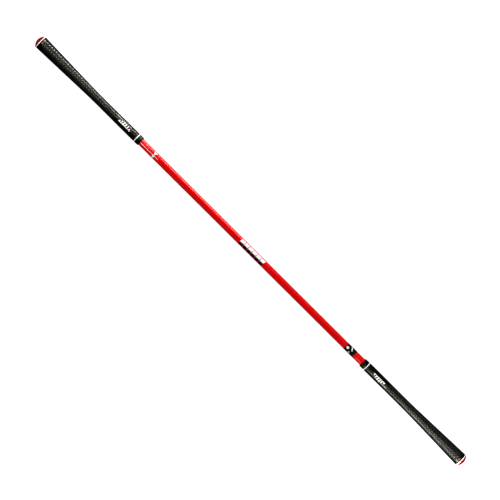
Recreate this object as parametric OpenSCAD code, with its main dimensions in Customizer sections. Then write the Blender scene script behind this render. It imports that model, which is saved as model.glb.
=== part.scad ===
// Double-ended golf swing trainer stick: a straight lacquered tube with a tapered rubber golf grip
// on each end. The stick lies along X with its middle at the origin. The left grip is the right grip
// turned half a turn about Z.

/* [Stick] */
// Overall length over both grip caps
overall_length = 1143; // [1000:1:1250]
// Outer diameter of the shaft tube
shaft_od = 14.2; // [13:0.1:15]
// Wall thickness of the shaft tube
shaft_wall = 2; // [1.5:0.1:3]

/* [Grip] */
// Length of a grip from the end of its cap to its mouth
grip_length = 273.6; // [250:0.1:290]
// Largest diameter of a grip, where it meets the cap ring
butt_od = 26.6; // [25:0.1:28]
// Diameter of the parallel neck of a grip
neck_od = 18.2; // [17.6:0.1:19]
// Diameter at the lip of the mouth
mouth_od = 17.6; // [17.2:0.1:17.6]
// Distance from the end of the cap to where the flare runs out into the neck
flare_length = 145.7; // [130:0.1:155]
// Softness of the bend between flare and neck
flare_blend = 8; // [4:0.5:10]
// Radius of the rounded lip at the mouth
lip_radius = 1.2; // [0.5:0.1:1.4]
// Length of the lip that closes tightly on the shaft
lip_seal = 4; // [2:0.5:6]
// Thickness of the double-sided tape under the grip
tape_thickness = 0.15; // [0.1:0.01:0.25]

/* [Grip cap] */
// Height of the cap above its ring
cap_height = 6.7; // [5.5:0.1:8]
// Height of the straight rim below the cap's dome
cap_rim = 0.8; // [0.4:0.1:1.5]
// Diameter of the flat in the middle of the cap
cap_flat_d = 8; // [6:0.1:10]
// Diameter of the vent hole through the cap
vent_d = 3; // [2:0.1:4]
// Thickness of the cap between its flat and the end of the shaft
cap_floor = 9.5; // [9:0.1:10]
// Diameter of the spigot that the cap pushes into the sleeve
spigot_d = 20; // [18:0.1:21]
// Depth of the spigot below the ring
spigot_depth = 5; // [4:0.1:8]
// Width of the ring between cap and sleeve
cap_ring_width = 1.4; // [1.2:0.1:3]

/* [Grip trim] */
// Distance from the mouth to the middle of the mouth ring
mouth_ring_x = 10.8; // [8:0.1:14]
// Width of the mouth ring
mouth_ring_width = 1.9; // [1.5:0.1:3.5]
// Depth of the seat that a mouth ring or a badge is set into
inlay_depth = 0.5; // [0.3:0.1:0.8]
// Height that a mouth ring or a badge stands proud
inlay_proud = 0.15; // [0.05:0.05:0.3]
// Distance from the mouth to the near end of the badge
badge_x = 28.8; // [26:0.1:40]
// Length of the badge
badge_length = 30; // [20:1:34]
// Number of bars in the badge
badge_bars = 6; // [3:1:8]
// Height of the badge at its tallest bar
badge_height = 6.6; // [5:0.1:8]
// Thickness of the badge's base line
badge_line = 1; // [0.8:0.1:1.6]
// Distance from the stick's axis to the straight edge of the base line
badge_edge = 1.7; // [1:0.1:2.5]

/* [Shaft graphics] */
// Thickness of one layer of film
film = 0.1; // [0.08:0.01:0.2]
// Length of the row of slanted blocks at the middle
row_length = 65.5; // [50:0.5:80]
// Number of blocks in the row
row_blocks = 6; // [4:1:8]
// Sideways lean of a block that is as tall as the shaft's radius
row_lean = 2.6; // [0:0.1:4]
// Distance from the axis to the upper edge of the light blocks
row_top = 5.6; // [4:0.1:6]
// Distance from the axis to the line where light and dark blocks meet
row_split = -0.8; // [-1.5:0.1:0.5]
// Distance from the axis to the lower edge of the dark blocks
row_bottom = -6; // [-6.2:0.1:-4]
// Width of the black band
band_width = 23; // [20:1:30]
// Distance from the middle of the stick to the middle of the band
band_x = 264.5; // [250:0.5:270]
// Length of the lozenge on the band, along the stick
lozenge_length = 7; // [4:0.1:8]
// Height of the lozenge across the stick
lozenge_height = 6.6; // [4:0.1:8]
// Distance from the axis to the outer ends of the chevron's arms
chevron_reach = 6.2; // [5:0.1:6.3]
// Width of a chevron arm along the stick
chevron_stroke = 2.6; // [1.5:0.1:3]
// How far the long chevron arm leans along the stick
chevron_lean = 4.2; // [2:0.1:5]
// Distance from the axis to the inner end of the short chevron arm
chevron_gap = 3.6; // [2:0.1:4.5]
// Distance from the middle of the stick to the pennants
pennant_x = 262.6; // [255:0.1:270]
// Width of the upper pennant at its wide end
pennant_width = 7.2; // [5:0.1:9]
// Width of the lower pennant at its wide end
pennant_low_width = 5.6; // [4:0.1:7]
// Distance from the axis to the outer ends of the pennants
pennant_reach = 6.1; // [5:0.1:6.2]
// Distance from the axis to the inner ends of the pennants
pennant_gap = 0.7; // [0.4:0.1:1.2]
// Length of the pinstripe that runs out of the left grip
pinstripe_length = 47; // [35:1:60]
// Width of the pinstripe
pinstripe_width = 0.9; // [0.6:0.1:1.5]
// Distance from the axis to the middle of the pinstripe
pinstripe_y = -1.7; // [-3:0.1:-1.5]

/* [Hidden] */
$fn = 96;
half_length = overall_length / 2;
shaft_r = shaft_od / 2;
shaft_end = half_length - cap_floor;
bore_r = shaft_r + tape_thickness;
butt_r = butt_od / 2;
neck_r = neck_od / 2;
mouth_r = mouth_od / 2;
mouth_x = half_length - grip_length;
// Stations along the right grip, going in from its end
cap_x = half_length - cap_height;
sleeve_x = cap_x - cap_ring_width;
spigot_x = sleeve_x - spigot_depth;
neck_start = flare_length + 6 * flare_blend;
neck_end_x = mouth_x + mouth_ring_x + 2 * mouth_ring_width;
flare_steps = 26;
lip_steps = 6;
dome_steps = 14;
// Half the width of a pennant's narrow end
pennant_tip = 1.1;
// Shares of the blocks' and bars' spacing that the blocks and bars take up
light_share = 0.9;
dark_share = 0.8;
bar_share = 0.44;
// Height of the badge's end bars as a share of the tallest bar's
end_bar_share = 0.38;
// Places of the marks on the band, as shares of its width from its middle
lozenge_place = -0.32;
chevron_place = -0.1;
flare_slope = (butt_r - neck_r) / (flare_length - (half_length - sleeve_x));
// The dome is an arc about this point of the axis, from the rim to the edge of the flat
dome_rise = cap_height - cap_rim;
dome_sink = (pow(butt_r, 2) - pow(cap_flat_d / 2, 2) - pow(dome_rise, 2)) / (2 * dome_rise);
dome_r = sqrt(pow(butt_r, 2) + pow(dome_sink, 2));

// Radius of the grip at a distance from the end of its cap: a straight flare that runs out softly
// into the neck
function grip_r(d) =
    neck_r + flare_slope * flare_blend * ln(1 + exp((flare_length - d) / flare_blend));

// Outline points as [radius, place along the stick]
function flare_points() = [
    for (i = [0:flare_steps])
        let (d = half_length - sleeve_x + (neck_start - half_length + sleeve_x) * i / flare_steps)
        [i == flare_steps ? neck_r : grip_r(d), half_length - d]
];
function lip_points() = [
    for (i = [0:lip_steps])
        let (a = 90 * i / lip_steps)
        [mouth_r - lip_radius + lip_radius * cos(a), mouth_x + lip_radius - lip_radius * sin(a)]
];
function dome_points() = [
    let (a0 = asin(butt_r / dome_r), a1 = asin(cap_flat_d / 2 / dome_r))
    for (i = [0:dome_steps])
        let (a = a0 + (a1 - a0) * i / dome_steps)
        [dome_r * sin(a), cap_x + cap_rim - dome_sink + dome_r * cos(a)]
];

// Turns a [radius, place] outline about the stick's axis
module turned() rotate([0, 90, 0]) rotate_extrude() children();

// A tube along X from x0 to x1
module tube(x0, x1, inner, outer) turned()
    translate([inner, x0]) square([outer - inner, x1 - x0]);

// The half turn that makes the left grip out of the right one
module left_side() rotate([0, 0, 180]) children();

// A flat shape laid on the top of the shaft as a film, on so many films below it
module film_on_shaft(x0, x1, films_below = 0) intersection() {
    tube(x0, x1, shaft_r + films_below * film, shaft_r + (films_below + 1) * film);
    linear_extrude(height = shaft_od) children();
}

// A four-cornered block between y0 and y1, leaning towards +X as y grows
module leaning_block(width, y0, y1, lean) polygon([
    [0, y0], [width, y0], [width + lean, y1], [lean, y1]
]);

module row_of_blocks(width_share, y0, y1) {
    pitch = (row_length - row_lean) / row_blocks;
    film_on_shaft(-row_length / 2 - row_lean, row_length / 2 + row_lean)
        for (i = [0:row_blocks - 1])
            translate([-row_length / 2 + i * pitch, 0])
                leaning_block(pitch * width_share, y0, y1, row_lean * (y1 - y0) / shaft_r);
}

module shaft_tube() color("red")
    tube(-shaft_end, shaft_end, shaft_r - shaft_wall, shaft_r);

module centre_row_light() color("white")
    row_of_blocks(light_share, row_split, row_top);

module centre_row_dark() color([0.08, 0.04, 0.04])
    row_of_blocks(dark_share, row_bottom, row_split);

module right_band() color([0.06, 0.06, 0.06])
    tube(band_x - band_width / 2, band_x + band_width / 2, shaft_r, shaft_r + film);

module right_band_lozenge() color("white")
    film_on_shaft(band_x - band_width / 2, band_x, 1)
        translate([band_x + lozenge_place * band_width, 0])
            polygon([[-lozenge_length / 2, 0], [0, -lozenge_height / 2],
                [lozenge_length / 2, 0], [0, lozenge_height / 2]]);

module right_band_chevron() color("white")
    film_on_shaft(band_x - band_width / 2, band_x + band_width / 2, 1)
        translate([band_x + chevron_place * band_width, 0]) {
            translate([chevron_lean, 0])
                leaning_block(chevron_stroke, 0, chevron_reach, -chevron_lean);
            leaning_block(chevron_stroke, -chevron_reach, -chevron_gap, chevron_lean / 3);
        }

module pennant_outlines() translate([-pennant_x, 0]) {
    polygon([[-pennant_tip, pennant_gap], [pennant_tip, pennant_gap],
        [pennant_width / 2, pennant_reach], [-pennant_width / 2, pennant_reach]]);
    polygon([[-pennant_tip, -pennant_reach], [pennant_tip, -pennant_reach],
        [pennant_low_width / 2, -pennant_gap], [-pennant_low_width / 2, -pennant_gap]]);
}

module left_pennants() color("white")
    film_on_shaft(-pennant_x - pennant_width, -pennant_x + pennant_width)
        pennant_outlines();

module left_pinstripe() color("white")
    film_on_shaft(-mouth_x, -mouth_x + pinstripe_length)
        difference() {
            translate([-mouth_x, pinstripe_y - pinstripe_width / 2])
                square([pinstripe_length, pinstripe_width]);
            pennant_outlines();
        }

module grip_cap() color("crimson")
    turned() polygon(concat(
        [[vent_d / 2, half_length], [vent_d / 2, shaft_end], [bore_r, shaft_end], [bore_r, spigot_x],
         [spigot_d / 2, spigot_x], [spigot_d / 2, cap_x], [butt_r, cap_x]],
        dome_points()
    ));

module cap_ring() color("white")
    tube(sleeve_x, cap_x, spigot_d / 2, butt_r);

module mouth_ring() color("white")
    translate([mouth_x + mouth_ring_x, 0, 0])
        tube(-mouth_ring_width / 2, mouth_ring_width / 2, mouth_r - inlay_depth, neck_r + inlay_proud);

// A base line with slanted bars of rising and falling height under it
module badge_outline() {
    pitch = badge_length / badge_bars;
    bar = bar_share * pitch;
    translate([0, badge_edge - badge_line]) square([badge_length, badge_line]);
    for (i = [0:badge_bars - 1]) {
        share = end_bar_share + (1 - end_bar_share) * sin(180 * (i + 0.5) / badge_bars);
        translate([pitch * i + (pitch - bar) / 2, 0])
            leaning_block(bar, badge_edge - badge_height * share, badge_edge, bar * share / 2);
    }
}

module grip_badge() color("white") translate([mouth_x + badge_x, 0, 0]) intersection() {
    tube(0, badge_length, neck_r - inlay_depth, neck_r + inlay_proud);
    linear_extrude(height = butt_od) badge_outline();
}

module grip_sleeve() color([0.12, 0.12, 0.12]) difference() {
    turned() polygon(concat(
        [[bore_r, mouth_x + lip_seal], [bore_r, spigot_x],
         [spigot_d / 2, spigot_x], [spigot_d / 2, sleeve_x]],
        flare_points(),
        [[neck_r, neck_end_x]],
        lip_points(),
        [[shaft_r, mouth_x], [shaft_r, mouth_x + lip_seal]]
    ));
    mouth_ring();
    grip_badge();
}

module grip_tape() color("wheat")
    tube(mouth_x + lip_seal, shaft_end, shaft_r, bore_r);

module left_grip_sleeve() left_side() grip_sleeve();
module left_grip_cap() left_side() grip_cap();
module left_cap_ring() left_side() cap_ring();
module left_mouth_ring() left_side() mouth_ring();
module left_grip_badge() left_side() grip_badge();
module left_grip_tape() left_side() grip_tape();

shaft_tube();
centre_row_light();
centre_row_dark();
right_band();
right_band_lozenge();
right_band_chevron();
left_pinstripe();
left_pennants();
left_grip_sleeve();
grip_sleeve();  // right_grip_sleeve
left_grip_cap();
grip_cap();  // right_grip_cap
left_cap_ring();
cap_ring();  // right_cap_ring
left_mouth_ring();
mouth_ring();  // right_mouth_ring
left_grip_badge();
grip_badge();  // right_grip_badge
left_grip_tape();
grip_tape();  // right_grip_tape
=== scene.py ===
import math

import bmesh
import bpy
from mathutils import Matrix, Vector


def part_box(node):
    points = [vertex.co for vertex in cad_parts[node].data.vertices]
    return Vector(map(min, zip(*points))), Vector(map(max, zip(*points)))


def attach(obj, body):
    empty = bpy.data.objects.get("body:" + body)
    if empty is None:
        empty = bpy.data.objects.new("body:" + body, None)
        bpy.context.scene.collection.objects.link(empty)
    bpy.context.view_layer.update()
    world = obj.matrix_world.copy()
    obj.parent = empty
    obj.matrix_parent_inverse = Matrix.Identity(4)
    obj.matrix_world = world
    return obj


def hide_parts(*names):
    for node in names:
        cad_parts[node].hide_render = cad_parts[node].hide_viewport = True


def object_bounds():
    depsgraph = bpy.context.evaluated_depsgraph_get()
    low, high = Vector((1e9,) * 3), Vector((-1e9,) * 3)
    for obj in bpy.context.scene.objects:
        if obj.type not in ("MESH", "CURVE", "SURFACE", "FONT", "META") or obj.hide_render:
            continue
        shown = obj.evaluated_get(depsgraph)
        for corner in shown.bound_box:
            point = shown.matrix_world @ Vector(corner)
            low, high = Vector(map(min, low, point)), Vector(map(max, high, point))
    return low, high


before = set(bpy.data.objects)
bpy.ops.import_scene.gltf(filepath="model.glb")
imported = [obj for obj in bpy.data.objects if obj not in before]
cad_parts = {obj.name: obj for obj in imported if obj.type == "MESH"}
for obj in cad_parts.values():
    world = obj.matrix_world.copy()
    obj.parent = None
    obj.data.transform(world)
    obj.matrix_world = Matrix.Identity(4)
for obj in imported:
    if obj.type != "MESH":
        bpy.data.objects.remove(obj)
CAD_LOW, CAD_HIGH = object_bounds()

MM = 0.001
TURN = 2 * math.pi


# ---------------------------------------------------------------- places taken from the CAD frame

def radius_of(node):
    """Largest distance of a CAD node's points from the stick's axis."""
    return max(math.hypot(v.co.y, v.co.z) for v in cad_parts[node].data.vertices)


def reach(node):
    """Where a CAD node starts and ends along the stick."""
    low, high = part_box(node)
    return low.x, high.x


HALF_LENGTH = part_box("right_grip_cap")[1].x
SHAFT_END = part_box("shaft_tube")[1].x
SHAFT_R = radius_of("shaft_tube")
FILM = radius_of("right_band") - SHAFT_R
MOUTH_X, SLEEVE_X = reach("right_grip_sleeve")
CAP_X = reach("right_cap_ring")[1]
SPIGOT_X = reach("right_grip_cap")[0]
BUTT_R = radius_of("right_cap_ring")
BORE_R = radius_of("right_grip_tape")
MOUTH_RING = reach("right_mouth_ring")
MOUTH_RING_R = radius_of("right_mouth_ring")
BADGE = reach("right_grip_badge")
BADGE_R = radius_of("right_grip_badge")

# Sizes that the boxes of the nodes don't tell, the same as in the CAD
SHAFT_WALL = 2 * MM
NECK_R = 9.1 * MM
MOUTH_R = 8.8 * MM
FLARE_LENGTH = 145.7 * MM
FLARE_BLEND = 8 * MM
LIP_RADIUS = 1.2 * MM
LIP_SEAL = 4 * MM
SPIGOT_R = 10 * MM
VENT_R = 1.5 * MM
CAP_FLAT_R = 4 * MM
CAP_RIM = 0.8 * MM
INLAY_DEPTH = 0.5 * MM

FLARE_SLOPE = (BUTT_R - NECK_R) / (FLARE_LENGTH - (HALF_LENGTH - SLEEVE_X))
NECK_END = 2 * MOUTH_RING[1] - MOUTH_RING[0]
SEAT_R = NECK_R - INLAY_DEPTH


def grip_radius(x):
    """Radius of the grip's smooth skin at a place along the right half."""
    bend = (FLARE_LENGTH - (HALF_LENGTH - x)) / FLARE_BLEND
    flare = FLARE_SLOPE * FLARE_BLEND * math.log1p(math.exp(bend))
    drop = (NECK_R - MOUTH_R) * max(0, (NECK_END - x) / (NECK_END - MOUTH_X))
    return NECK_R + flare - drop


def skin_point(x, below=0):
    """A point (x, r) of the grip's outline, on its smooth skin or so far below it."""
    return x, grip_radius(x) - below


# ---------------------------------------------------------------- mesh helpers

ROUND_FACETS = 128
WRAP_STRIP = 0.35 * MM
SAME_POINT = 1e-7


def new_piece(name, bm, slot, replaced, smooth_angle=40):
    """Makes an object of a bmesh, with its slot's material, and ties it to the frame."""
    bmesh.ops.recalc_face_normals(bm, faces=bm.faces)
    mesh = bpy.data.meshes.new(name)
    bm.to_mesh(mesh)
    bm.free()
    for polygon in mesh.polygons:
        polygon.use_smooth = True
    mesh.set_sharp_from_angle(angle=math.radians(smooth_angle))
    mesh.materials.append(MATERIALS[slot])
    piece = bpy.data.objects.new(name, mesh)
    bpy.context.scene.collection.objects.link(piece)
    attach(piece, "root")
    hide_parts(replaced)


def fillet(corners, steps=5):
    """Rounds corners of a closed outline. A corner is (x, r), or (x, r, radius) to round it."""
    outline = []
    for i, corner in enumerate(corners):
        here = Vector(corner[:2])
        if len(corner) == 2:
            outline.append(here)
            continue
        before = Vector(corners[i - 1][:2]) - here
        after = Vector(corners[(i + 1) % len(corners)][:2]) - here
        back = corner[2] / math.tan(before.angle(after) / 2)
        back = min(back, before.length * 0.49, after.length * 0.49)
        start = here + before.normalized() * back
        end = here + after.normalized() * back
        for k in range(steps + 1):
            t = k / steps
            outline.append(start.lerp(here, t).lerp(here.lerp(end, t), t))
    return outline


def even_angles(count):
    return [TURN * k / count for k in range(count)]


def bridge(bm, ring, following):
    """Joins two closed rings of vertices with faces."""
    for k in range(len(ring)):
        k2 = (k + 1) % len(ring)
        bm.faces.new((ring[k], ring[k2], following[k2], following[k]))


def lathe(outline, flip=1):
    """Turns a closed outline of (x, r) about the stick's axis."""
    bm = bmesh.new()
    angles = even_angles(ROUND_FACETS)
    rings = [
        [bm.verts.new((flip * x, flip * r * math.sin(a), r * math.cos(a))) for a in angles]
        for x, r in outline
    ]
    for ring, following in zip(rings, rings[1:] + rings[:1]):
        bridge(bm, ring, following)
    return bm


def tube(x0, x1, inner, outer, edge, flip=1, steps=5):
    """A tube with rounded outer edges."""
    outline = [(x0, inner), (x0, outer, edge), (x1, outer, edge), (x1, inner)]
    return lathe(fillet(outline, steps), flip)


def wrapped(outlines, base_r, thickness, sink, bevel_share=0.4, flip=1):
    """Lays flat outlines, as seen from above, on a cylinder as raised pieces with bevelled rims.

    The bevel is a share of the thickness, and the pieces reach into the cylinder by the sink.
    """
    bm = bmesh.new()
    bevel = bevel_share * thickness
    for outline in outlines:
        flat = [(x, base_r * math.asin(y / base_r)) for x, y in outline]
        rim = [bm.verts.new((x, s, thickness - bevel)) for x, s in flat]
        face = bm.faces.new(rim)
        bmesh.ops.inset_individual(bm, faces=[face], thickness=bevel, use_even_offset=True)
        for v in face.verts:
            v.co.z = thickness
        bottom = [bm.verts.new((x, s, -sink)) for x, s in flat]
        bm.faces.new(list(reversed(bottom)))
        bridge(bm, bottom, rim)
    low = min(v.co.y for v in bm.verts)
    high = max(v.co.y for v in bm.verts)
    for k in range(1, int((high - low) / WRAP_STRIP) + 1):
        bmesh.ops.bisect_plane(
            bm, geom=bm.verts[:] + bm.edges[:] + bm.faces[:],
            plane_co=(0, low + k * WRAP_STRIP, 0), plane_no=(0, 1, 0), dist=SAME_POINT,
        )
    for v in bm.verts:
        r = base_r + v.co.z
        a = v.co.y / base_r
        v.co = (flip * v.co.x, flip * r * math.sin(a), r * math.cos(a))
    return bm


# ---------------------------------------------------------------- materials

class Look:
    """A material in the making, with a short way to write its node tree."""

    def __init__(self, name):
        self.material = bpy.data.materials.new(name)
        self.material.use_nodes = True
        self.tree = self.material.node_tree
        self.tree.nodes.clear()
        output = self.tree.nodes.new("ShaderNodeOutputMaterial")
        self.shader = self.tree.nodes.new("ShaderNodeBsdfPrincipled")
        self.tree.links.new(self.shader.outputs[0], output.inputs[0])
        self.place = self.tree.nodes.new("ShaderNodeTexCoord").outputs["Object"]

    def link(self, value, socket):
        if isinstance(value, bpy.types.NodeSocket):
            self.tree.links.new(value, socket)
        else:
            socket.default_value = value

    def set(self, **values):
        for name, value in values.items():
            self.link(value, self.shader.inputs[name.replace("_", " ")])

    def math(self, operation, *values):
        node = self.tree.nodes.new("ShaderNodeMath")
        node.operation = operation
        for value, socket in zip(values, node.inputs):
            self.link(value, socket)
        return node.outputs[0]

    def stretched(self, x, y, z):
        node = self.tree.nodes.new("ShaderNodeMapping")
        self.link(self.place, node.inputs["Vector"])
        node.inputs["Scale"].default_value = (x, y, z)
        return node.outputs[0]

    def noise(self, scale, detail, roughness=0.5, place=None):
        node = self.tree.nodes.new("ShaderNodeTexNoise")
        self.link(place or self.place, node.inputs["Vector"])
        node.inputs["Scale"].default_value = scale
        node.inputs["Detail"].default_value = detail
        node.inputs["Roughness"].default_value = roughness
        return node.outputs["Fac"]

    def spread(self, value, low, high, to_low=0.0, to_high=1.0):
        node = self.tree.nodes.new("ShaderNodeMapRange")
        for part, socket in zip((value, low, high, to_low, to_high), node.inputs):
            self.link(part, socket)
        return node.outputs[0]

    def blend(self, factor, a, b):
        node = self.tree.nodes.new("ShaderNodeMix")
        node.data_type = "RGBA"
        self.link(factor, node.inputs[0])
        self.link(a, node.inputs[6])
        self.link(b, node.inputs[7])
        return node.outputs[2]

    def attribute(self, name):
        node = self.tree.nodes.new("ShaderNodeAttribute")
        node.attribute_name = name
        return node.outputs["Fac"]

    def bump(self, height, distance):
        node = self.tree.nodes.new("ShaderNodeBump")
        node.inputs["Strength"].default_value = 1.0
        node.inputs["Distance"].default_value = distance
        self.link(height, node.inputs["Height"])
        return node.outputs[0]


def rgb(r, g, b):
    return (r, g, b, 1.0)


def lacquer(name, colour, shade, coat=1.0, matt=0.0):
    """Paint or printed film under a clear lacquer, with orange peel and fine hair scratches."""
    look = Look(name)
    cloud = look.noise(35, 3)
    flow = look.noise(12, 2, place=look.stretched(1, 9, 9))
    tone = look.spread(look.math("ADD", cloud, flow), 0.7, 1.3)
    peel = look.noise(420, 2, 0.4)
    hair = look.noise(2600, 2, 0.5, look.stretched(0.03, 1, 1))
    scratches = look.math("MULTIPLY", hair, look.noise(90, 5, 0.6))
    look.set(
        Base_Color=look.blend(tone, shade, colour),
        Roughness=look.spread(scratches, 0.1, 0.5, 0.24 + matt, 0.42 + matt),
        IOR=1.5,
        Coat_Weight=coat,
        Coat_Roughness=0.06,
        Coat_IOR=1.5,
        Normal=look.bump(peel, 0.012 * MM),
        Coat_Normal=look.bump(peel, 0.012 * MM),
    )
    return look.material


def grip_rubber(name):
    """Black moulded rubber: matt grooves with a trace of dust, pads polished where hands rub them."""
    look = Look(name)
    relief = look.attribute("relief")
    grain = look.noise(2400, 3, 0.6)
    cloud = look.noise(60, 4, 0.6)
    worn = look.noise(22, 3, 0.5)
    groove = look.math("SUBTRACT", 1.1, relief)
    dust = look.spread(look.math("MULTIPLY", groove, cloud), 0.2, 0.7)
    tone = look.spread(worn, 0.35, 0.65)
    pad = look.blend(tone, rgb(0.0030, 0.0030, 0.0027), rgb(0.0042, 0.0042, 0.0037))
    polish = look.spread(relief, 0, 1, 0.64, 0.29)
    unevenness = look.spread(look.math("ADD", grain, worn), 0.6, 1.4, -0.02, 0.03)
    look.set(
        Base_Color=look.blend(dust, pad, rgb(0.0060, 0.0058, 0.0048)),
        Roughness=look.math("ADD", polish, unevenness),
        IOR=1.5,
        Normal=look.bump(grain, 0.012 * MM),
    )
    return look.material


def cap_rubber(name):
    """Hard red rubber of the end caps, softly glossy, scuffed where it meets the ground."""
    look = Look(name)
    cloud = look.noise(120, 4, 0.6)
    grain = look.noise(1800, 3, 0.6)
    scuff = look.spread(look.noise(500, 6, 0.7), 0.55, 0.75)
    tone = look.spread(cloud, 0.3, 0.7)
    gloss = look.spread(cloud, 0.3, 0.7, 0.38, 0.46)
    look.set(
        Base_Color=look.blend(tone, rgb(0.15, 0.004, 0.010), rgb(0.20, 0.006, 0.014)),
        Roughness=look.math("ADD", gloss, look.math("MULTIPLY", scuff, 0.2)),
        IOR=1.5,
        Normal=look.bump(look.math("ADD", grain, scuff), 0.02 * MM),
    )
    return look.material


def white_trim(name):
    """White rubber rings and paint-filled badges, a little grimy."""
    look = Look(name)
    grime = look.spread(look.noise(380, 5, 0.65), 0.5, 0.75)
    grain = look.noise(2200, 3, 0.5)
    look.set(
        Base_Color=look.blend(grime, rgb(0.82, 0.81, 0.79), rgb(0.66, 0.65, 0.62)),
        Roughness=look.spread(grain, 0.3, 0.7, 0.38, 0.52),
        IOR=1.48,
        Normal=look.bump(grain, 0.015 * MM),
    )
    return look.material


def crepe_tape(name):
    """Creped paper tape with adhesive."""
    look = Look(name)
    crepe = look.noise(900, 4, 0.6, look.stretched(1, 0.25, 0.25))
    blotch = look.spread(look.noise(150, 3), 0.3, 0.7)
    look.set(
        Base_Color=look.blend(blotch, rgb(0.74, 0.64, 0.42), rgb(0.84, 0.76, 0.56)),
        Roughness=look.spread(crepe, 0.3, 0.7, 0.7, 0.95),
        Normal=look.bump(crepe, 0.08 * MM),
    )
    return look.material


# One material for each material slot of the record
MATERIALS = {
    "shaft_lacquer": lacquer("shaft_lacquer", rgb(0.74, 0.0025, 0.003), rgb(0.66, 0.002, 0.0024)),
    "light_film": lacquer("light_film", rgb(0.90, 0.88, 0.87), rgb(0.84, 0.81, 0.80)),
    "dark_film": lacquer(
        "dark_film", rgb(0.004, 0.003, 0.003), rgb(0.007, 0.005, 0.005), coat=0.15, matt=0.3,
    ),
    "grip_rubber": grip_rubber("grip_rubber"),
    "cap_red": cap_rubber("cap_red"),
    "trim_white": white_trim("trim_white"),
    "grip_tape": crepe_tape("grip_tape"),
}


# ---------------------------------------------------------------- the shaft and its graphics

SHAFT_EDGE = 0.4 * MM


def make_shaft():
    inner = SHAFT_R - SHAFT_WALL
    outline = fillet([
        (-SHAFT_END, inner, SHAFT_EDGE), (-SHAFT_END, SHAFT_R, SHAFT_EDGE),
        (SHAFT_END, SHAFT_R, SHAFT_EDGE), (SHAFT_END, inner, SHAFT_EDGE),
    ])
    new_piece("shaft", lathe(outline), "shaft_lacquer", "shaft_tube")


def make_band():
    """The dark band, sunk one film deep so that no gap shows under it."""
    x0, x1 = reach("right_band")
    bm = tube(x0, x1, SHAFT_R - FILM, SHAFT_R + FILM, 0.6 * FILM, steps=3)
    new_piece("band", bm, "dark_film", "right_band")


def leaning_block(x, width, y0, y1, lean):
    return [(x, y0), (x + width, y0), (x + width + lean, y1), (x + lean, y1)]


ROW_BLOCKS = 6
ROW_LENGTH = 65.5 * MM
ROW_LEAN = 2.6 * MM
LIGHT_SHARE = 0.9
DARK_SHARE = 0.8


def make_row(name, slot, node, share):
    """One row of the slanted blocks at mid-shaft, each as wide as a share of their spacing."""
    pitch = (ROW_LENGTH - ROW_LEAN) / ROW_BLOCKS
    low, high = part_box(node)
    lean = ROW_LEAN * (high.y - low.y) / SHAFT_R
    blocks = [
        leaning_block(-ROW_LENGTH / 2 + i * pitch, pitch * share, low.y, high.y, lean)
        for i in range(ROW_BLOCKS)
    ]
    new_piece(name, wrapped(blocks, SHAFT_R, FILM, FILM), slot, node)


CHEVRON_STROKE = 2.6 * MM
CHEVRON_LEAN = 4.2 * MM
CHEVRON_GAP = 3.6 * MM


def make_band_marks():
    """The lozenge and the broken chevron, which lie on the band."""
    base = SHAFT_R + FILM
    low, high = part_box("right_band_lozenge")
    middle = (low + high) / 2
    lozenge = [(low.x, middle.y), (middle.x, low.y), (high.x, middle.y), (middle.x, high.y)]
    bm = wrapped([lozenge], base, FILM, FILM / 2)
    new_piece("lozenge", bm, "light_film", "right_band_lozenge")
    low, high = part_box("right_band_chevron")
    long_arm = leaning_block(low.x + CHEVRON_LEAN, CHEVRON_STROKE, 0, high.y, -CHEVRON_LEAN)
    short_arm = leaning_block(low.x, CHEVRON_STROKE, low.y, -CHEVRON_GAP, CHEVRON_LEAN / 3)
    bm = wrapped([long_arm, short_arm], base, FILM, FILM / 2)
    new_piece("chevron", bm, "light_film", "right_band_chevron")


PENNANT_TIP = 1.1 * MM
PENNANT_GAP = 0.7 * MM
PENNANT_LOW_SHARE = 5.6 / 7.2


def pennant_outlines():
    """The upper pennant and the lower one, which is narrower."""
    low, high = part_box("left_pennants")
    middle = (low.x + high.x) / 2
    wide = (high.x - low.x) / 2
    narrow = wide * PENNANT_LOW_SHARE
    return [
        [(middle - PENNANT_TIP, PENNANT_GAP), (middle + PENNANT_TIP, PENNANT_GAP),
         (middle + wide, high.y), (middle - wide, high.y)],
        [(middle - PENNANT_TIP, low.y), (middle + PENNANT_TIP, low.y),
         (middle + narrow, -PENNANT_GAP), (middle - narrow, -PENNANT_GAP)],
    ]


def make_left_marks():
    """The pennants, and the pinstripe, whose two lengths end just inside the lower pennant."""
    upper, lower = pennant_outlines()
    bm = wrapped([upper, lower], SHAFT_R, FILM, FILM)
    new_piece("pennants", bm, "light_film", "left_pennants")
    low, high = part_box("left_pinstripe")
    (tip_left, tip_y), (tip_right, _), (wide_right, _), (wide_left, _) = lower
    share = (low.y + high.y) / 2 / tip_y
    left_side = wide_left + (tip_left - wide_left) * share
    right_side = wide_right + (tip_right - wide_right) * share
    stripes = [
        leaning_block(x0, x1 - x0, low.y, high.y, 0)
        for x0, x1 in ((low.x, left_side), (right_side, high.x))
    ]
    bm = wrapped(stripes, SHAFT_R, FILM, FILM, bevel_share=0.3)
    new_piece("pinstripe", bm, "light_film", "left_pinstripe")


# ---------------------------------------------------------------- the grip sleeves

# The moulded pattern: two crossing families of V-shaped grooves, with slightly domed pads between
PADS_ROUND = 9
PAD_LENGTH = 6.15 * MM
PAD_ROWS = 31
BUTT_COLLAR = 7 * MM
PATTERN_END = SLEEVE_X - BUTT_COLLAR
PATTERN_START = PATTERN_END - PAD_ROWS * PAD_LENGTH

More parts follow.
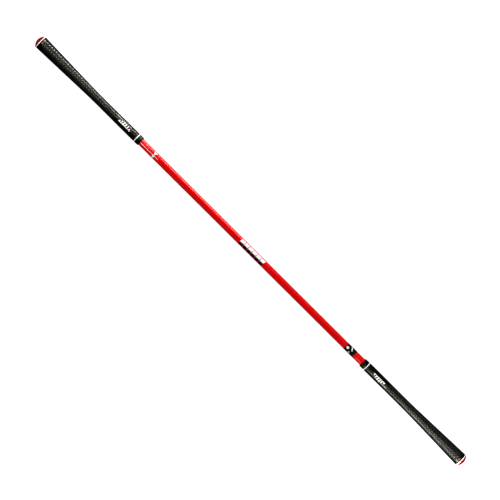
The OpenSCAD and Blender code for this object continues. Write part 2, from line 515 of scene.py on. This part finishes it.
# Section from one groove to the next: places as shares of the spacing, and depths below the skin
GROOVE_DEPTH = 0.75 * MM
HALF_SECTION = [
    (0.05, 0.62 * MM), (0.11, 0.38 * MM), (0.17, 0.08 * MM), (0.22, 0.02 * MM), (0.36, 0.004 * MM),
]
PAD_SECTION = [(0, GROOVE_DEPTH), *HALF_SECTION, (0.5, 0)]
PAD_SECTION += [(1 - place, depth) for place, depth in reversed(HALF_SECTION)]

# The skin's grid: its steps across one pad, its vertices on one ring, and its last ring's number
PAD_STEPS = len(PAD_SECTION)
RING_VERTICES = PADS_ROUND * PAD_STEPS
LAST_RING = 2 * PAD_ROWS * PAD_STEPS

# The smooth rest of a sleeve
END_GROOVE = 0.55 * MM
END_GROOVE_SIDE = 0.4 * MM
COLLAR_RELIEF = 0.8
SLEEVE_EDGE = 0.25 * MM
SEAL_SLOPE = 0.6 * MM
NECK_STEP = 3 * MM


def grid_places(number):
    """The places p, q of the skin's grid that lie on one ring, where p + q is the ring's number."""
    return [
        ((number + difference) // 2, (number - difference) // 2)
        for difference in range(-RING_VERTICES, RING_VERTICES)
        if (number + difference) % 2 == 0
    ]


class Sleeve:
    """A grip sleeve in the making. Its vertices carry their relief: 0 deep in a groove, 1 on a pad."""

    def __init__(self, flip):
        self.flip = flip
        self.bm = bmesh.new()
        self.relief = self.bm.verts.layers.float.new("relief")
        self.grid = {}

    def vertex(self, x, r, angle, relief):
        place = (self.flip * x, self.flip * r * math.sin(angle), r * math.cos(angle))
        v = self.bm.verts.new(place)
        v[self.relief] = relief
        return v

    def grid_vertex(self, p, q):
        """The skin's vertex at a grid place, counted in steps across the two families of grooves."""
        turns = (p - q) // (2 * RING_VERTICES)
        key = (p - turns * RING_VERTICES, q + turns * RING_VERTICES)
        if key not in self.grid:
            pad_p, step_p = divmod(key[0], PAD_STEPS)
            pad_q, step_q = divmod(key[1], PAD_STEPS)
            across_p = pad_p + PAD_SECTION[step_p][0]
            across_q = pad_q + PAD_SECTION[step_q][0]
            depth = max(PAD_SECTION[step_p][1], PAD_SECTION[step_q][1])
            x, r = skin_point(PATTERN_START + (across_p + across_q) / 2 * PAD_LENGTH, depth)
            angle = TURN * (across_p - across_q) / 2 / PADS_ROUND
            self.grid[key] = self.vertex(x, r, angle, 1 - depth / GROOVE_DEPTH)
        return self.grid[key]

    def ring(self, number):
        return [self.grid_vertex(p, q) for p, q in grid_places(number)]

    def add_pattern(self):
        """Fills the skin with four-sided faces, and with three-sided ones along its two ends."""
        for number in range(-1, LAST_RING):
            for p, q in grid_places(number):
                corners = [(p, q), (p + 1, q), (p + 1, q + 1), (p, q + 1)]
                inside = [place for place in corners if 0 <= sum(place) <= LAST_RING]
                if len(inside) > 2:
                    self.bm.faces.new([self.grid_vertex(*place) for place in inside])

    def add_smooth_rest(self):
        """Carries the pattern's last ring on, over collar, bore and neck, to its first ring."""
        ring = self.ring(LAST_RING)
        angles = [math.atan2(self.flip * v.co.y, v.co.z) for v in ring]
        for x, r in smooth_outline():
            following = [self.vertex(x, r, angle, COLLAR_RELIEF) for angle in angles]
            bridge(self.bm, ring, following)
            ring = following
        bridge(self.bm, ring, self.ring(0))


def lip_outline():
    angles = [math.radians(d) for d in range(90, -1, -15)]
    return [
        (MOUTH_X + LIP_RADIUS * (1 - math.sin(a)), MOUTH_R - LIP_RADIUS * (1 - math.cos(a)))
        for a in angles
    ]


def seat_outline():
    """The seat of the mouth ring, with softened edges."""
    low, high = MOUTH_RING
    out = 0.3 * SLEEVE_EDGE
    down = 0.2 * SLEEVE_EDGE
    return [
        skin_point(low - 2 * SLEEVE_EDGE), (low - out, grip_radius(low) - down), (low, SEAT_R),
        (high, SEAT_R), (high + out, grip_radius(high) - down), skin_point(high + 2 * SLEEVE_EDGE),
    ]


def smooth_outline():
    """Points (x, r) of a sleeve from the pattern's end over collar, bore, lip and neck to its start."""
    edge = SLEEVE_EDGE
    side = END_GROOVE_SIDE
    collar = [
        skin_point(PATTERN_END + side, END_GROOVE), skin_point(PATTERN_END + 2 * side),
        skin_point(PATTERN_END + 3 * side), skin_point(PATTERN_END + BUTT_COLLAR / 2),
        skin_point(SLEEVE_X - 2 * edge), (SLEEVE_X - 0.3 * edge, BUTT_R - 0.3 * edge),
        (SLEEVE_X, BUTT_R - edge),
    ]
    bore = [
        (SLEEVE_X, SPIGOT_R), (SPIGOT_X, SPIGOT_R), (SPIGOT_X, BORE_R), (MOUTH_X + LIP_SEAL, BORE_R),
        (MOUTH_X + LIP_SEAL - SEAL_SLOPE, SHAFT_R), (MOUTH_X + SEAL_SLOPE, SHAFT_R),
    ]
    neck = [
        skin_point(MOUTH_X + NECK_STEP), *seat_outline(), skin_point(MOUTH_RING[1] + NECK_STEP),
        (BADGE[0], NECK_R), (BADGE[1], NECK_R), skin_point(PATTERN_START - 3 * side),
        skin_point(PATTERN_START - 2 * side), skin_point(PATTERN_START - side, END_GROOVE),
    ]
    return collar + bore + lip_outline() + neck


def make_sleeve(side, flip):
    sleeve = Sleeve(flip)
    sleeve.add_pattern()
    sleeve.add_smooth_rest()
    new_piece(side + "_sleeve", sleeve.bm, "grip_rubber", side + "_grip_sleeve", smooth_angle=50)


# ---------------------------------------------------------------- the grips' other pieces

CAP_EDGE = 0.3 * MM
DOME_STEPS = 20
RING_EDGE = 0.28 * MM


def dome_outline():
    """The cap's dome: an arc from its rim to the edge of its flat."""
    rise = HALF_LENGTH - CAP_X - CAP_RIM
    sink = (BUTT_R ** 2 - CAP_FLAT_R ** 2 - rise ** 2) / (2 * rise)
    radius = math.hypot(BUTT_R, sink)
    centre = CAP_X + CAP_RIM - sink
    start = math.asin(BUTT_R / radius)
    end = math.asin(CAP_FLAT_R / radius)
    angles = [start + (end - start) * k / DOME_STEPS for k in range(DOME_STEPS + 1)]
    return [(centre + radius * math.cos(a), radius * math.sin(a)) for a in angles]


def make_cap(side, flip):
    """A domed cap with its spigot, its socket for the shaft and its vent hole."""
    edge = CAP_EDGE
    rim, *dome = dome_outline()
    outline = fillet([
        (SHAFT_END, VENT_R), (SHAFT_END, BORE_R), (SPIGOT_X, BORE_R, edge), (SPIGOT_X, SPIGOT_R, edge),
        (CAP_X, SPIGOT_R), (CAP_X, BUTT_R, edge), (*rim, 2 * edge), *dome,
        (HALF_LENGTH, VENT_R + 1.4 * edge), (HALF_LENGTH - 0.4 * edge, VENT_R + 0.4 * edge),
        (HALF_LENGTH - 1.4 * edge, VENT_R),
    ])
    new_piece(side + "_cap", lathe(outline, flip), "cap_red", side + "_grip_cap", smooth_angle=35)


def make_rings(side, flip):
    bm = tube(SLEEVE_X, CAP_X, SPIGOT_R, BUTT_R, RING_EDGE, flip)
    new_piece(side + "_ring", bm, "trim_white", side + "_cap_ring")
    bm = tube(*MOUTH_RING, SEAT_R, MOUTH_RING_R, RING_EDGE, flip)
    new_piece(side + "_neck_ring", bm, "trim_white", side + "_mouth_ring")


BADGE_BARS = 6
BADGE_HEIGHT = 6.6 * MM
BADGE_LINE = 1.0 * MM
BADGE_EDGE = 1.7 * MM
BAR_SHARE = 0.44
END_BAR_SHARE = 0.38


def badge_outline():
    """A base line with slanted bars of rising and falling length under it."""
    x0, x1 = BADGE
    pitch = (x1 - x0) / BADGE_BARS
    bar = BAR_SHARE * pitch
    line = BADGE_EDGE - BADGE_LINE
    outline = [(x1, line), (x1, BADGE_EDGE), (x0, BADGE_EDGE), (x0, line)]
    for i in range(BADGE_BARS):
        share = END_BAR_SHARE + (1 - END_BAR_SHARE) * math.sin(math.pi * (i + 0.5) / BADGE_BARS)
        length = BADGE_HEIGHT * share
        lean = bar * share / 2 * (1 - BADGE_LINE / length)
        foot = x0 + pitch * i + (pitch - bar) / 2
        outline += [
            (foot + lean, line), (foot, BADGE_EDGE - length),
            (foot + bar, BADGE_EDGE - length), (foot + bar + lean, line),
        ]
    return outline


def make_badge(side, flip):
    proud = BADGE_R - NECK_R
    bm = wrapped([badge_outline()], NECK_R, proud, INLAY_DEPTH, bevel_share=0.5, flip=flip)
    new_piece(side + "_badge", bm, "trim_white", side + "_grip_badge")


def dress_tape(side):
    """The hidden tape keeps its CAD mesh, and gets its own material."""
    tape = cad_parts[side + "_grip_tape"]
    tape.data.materials.clear()
    tape.data.materials.append(MATERIALS["grip_tape"])


def make_grip(side, flip):
    """One grip. The left one is the right one turned half a turn, which flips X and Y."""
    make_sleeve(side, flip)
    make_cap(side, flip)
    make_rings(side, flip)
    make_badge(side, flip)
    dress_tape(side)


# ---------------------------------------------------------------- floor, light and camera

FLOOR_FLAT = 6.0
FLOOR_SIDES = 48
FLOOR_GREY = 0.15
FLOOR_GLOW = 0.66
SWEEP_RADIUS = 3.0
SWEEP_STEPS = 12
WALL_TOP = 9.0


def floor_outline():
    """Points (r, z) from the edge of the flat up the sweep to the top of the wall."""
    angles = [math.radians(90 * k / SWEEP_STEPS) for k in range(SWEEP_STEPS + 1)]
    sweep = [
        (FLOOR_FLAT + SWEEP_RADIUS * math.sin(a), SWEEP_RADIUS * (1 - math.cos(a)))
        for a in angles
    ]
    return sweep + [(FLOOR_FLAT + SWEEP_RADIUS, WALL_TOP)]


def make_floor():
    """A pale sweep like a light table's: flat under the stick, curving up into a wall all round."""
    bm = bmesh.new()
    rings = [
        [bm.verts.new((r * math.cos(a), r * math.sin(a), z)) for a in even_angles(FLOOR_SIDES)]
        for r, z in floor_outline()
    ]
    bm.faces.new(rings[0])
    for ring, following in zip(rings, rings[1:]):
        bridge(bm, following, ring)
    mesh = bpy.data.meshes.new("floor")
    bm.to_mesh(mesh)
    bm.free()
    floor = bpy.data.objects.new("floor", mesh)
    floor.location.z = CAD_LOW.z
    floor.visible_glossy = False
    bpy.context.scene.collection.objects.link(floor)
    look = Look("floor")
    look.set(
        Base_Color=rgb(FLOOR_GREY, FLOOR_GREY, FLOOR_GREY),
        Roughness=1.0,
        Specular_IOR_Level=0.0,
        Emission_Color=rgb(1, 1, 1),
        Emission_Strength=FLOOR_GLOW,
    )
    mesh.materials.append(look.material)


WORLD_GLOW = 0.012
WARM = (1.0, 0.99, 0.86)
PLAIN = (1.0, 1.0, 1.0)


def soft_box(name, place, target, width, height, radiance, colour=PLAIN, spread=180):
    """A rectangular area light. Its width lies along the stick, unless it faces that way."""
    data = bpy.data.lights.new(name, "AREA")
    data.color = colour
    data.shape = "RECTANGLE"
    data.size = width
    data.size_y = height
    data.energy = radiance * math.pi * width * height
    data.spread = math.radians(spread)
    light = bpy.data.objects.new(name, data)
    facing = (Vector(place) - Vector(target)).normalized()
    wide = Vector((1, 0, 0)) if abs(facing.x) < 0.7 else Vector((0, 1, 0))
    tall = facing.cross(wide).normalized()
    wide = tall.cross(facing)
    turn = Matrix((wide, tall, facing)).transposed().to_4x4()
    light.matrix_world = Matrix.Translation(place) @ turn
    light.visible_camera = False
    bpy.context.scene.collection.objects.link(light)


def box_over(name, side, x0, x1, low, high, radiance, colour=WARM, spread=40, distance=0.4):
    """A soft box above one side of the stick, between two angles from straight up."""
    angle = math.radians((low + high) / 2)
    centre = (x0 + x1) / 2
    place = (centre, side * distance * math.sin(angle), CAD_LOW.z + distance * math.cos(angle))
    height = 2 * distance * math.tan(math.radians(high - low) / 2)
    soft_box(name, place, (centre, 0, 0), x1 - x0, height, radiance, colour, spread)


def make_lights():
    """Two big boxes beyond the ends, and five beside the stick whose reflections are its highlights."""
    world = bpy.data.worlds.new("studio")
    bpy.context.scene.world = world
    world.use_nodes = True
    background = world.node_tree.nodes["Background"]
    background.inputs["Color"].default_value = rgb(1, 1, 1)
    background.inputs["Strength"].default_value = WORLD_GLOW
    for end in (1, -1):
        place = (2.4 * end, 1.0, 1.5)
        target = (0.2 * end, 0, 0)
        soft_box("end_box", place, target, width=1.4, height=1.4, radiance=5.2)
    box_over("left_low", 1, x0=-0.592, x1=-0.335, low=62, high=77, radiance=2.1)
    box_over("left_high", 1, x0=-0.60, x1=-0.35, low=4, high=20, radiance=0.85)
    box_over(
        "middle_low", 1, x0=-0.42, x1=0.06, low=70, high=88, radiance=0.6,
        colour=PLAIN, spread=60, distance=1.0,
    )
    box_over("right_low", -1, x0=0.375, x1=0.645, low=42, high=64, radiance=2.3)
    box_over("right_high", -1, x0=0.375, x1=0.645, low=0, high=13, radiance=1.0)


CAMERA_DISTANCE = 3.8
CAMERA_ROLL = math.radians(44.84)
CAMERA_LEAN = math.radians(2.95)
SENSOR_WIDTH = 36
# The width that the picture takes in at the stick, and where it shows the middle of the stick,
# measured right and up from its own middle
VIEW_WIDTH = 951.84 * MM
MIDDLE_RIGHT = 4.188 * MM
MIDDLE_UP = -4.759 * MM


def make_camera():
    """Nearly straight above the middle, turned so that the stick runs from upper left to lower right."""
    forward = Vector((math.sin(CAMERA_LEAN), 0, -math.cos(CAMERA_LEAN)))
    along = Vector((math.cos(CAMERA_LEAN), 0, math.sin(CAMERA_LEAN)))
    across = Vector((0, 1, 0))
    right = math.cos(CAMERA_ROLL) * along + math.sin(CAMERA_ROLL) * across
    up = -math.sin(CAMERA_ROLL) * along + math.cos(CAMERA_ROLL) * across
    data = bpy.data.cameras.new("camera")
    data.sensor_width = SENSOR_WIDTH
    data.lens = SENSOR_WIDTH * CAMERA_DISTANCE / VIEW_WIDTH
    camera = bpy.data.objects.new("camera", data)
    turn = Matrix((right, up, -forward)).transposed().to_4x4()
    place = -MIDDLE_RIGHT * right - MIDDLE_UP * up - CAMERA_DISTANCE * forward
    camera.matrix_world = Matrix.Translation(place) @ turn
    bpy.context.scene.collection.objects.link(camera)
    bpy.context.scene.camera = camera
    bpy.context.scene.view_settings.view_transform = "Standard"
    bpy.context.scene.view_settings.look = "High Contrast"


make_shaft()
make_band()
make_row("light_blocks", "light_film", "centre_row_light", LIGHT_SHARE)
make_row("dark_blocks", "dark_film", "centre_row_dark", DARK_SHARE)
make_band_marks()
make_left_marks()
make_grip("right", 1)
make_grip("left", -1)
make_floor()
make_lights()
make_camera()
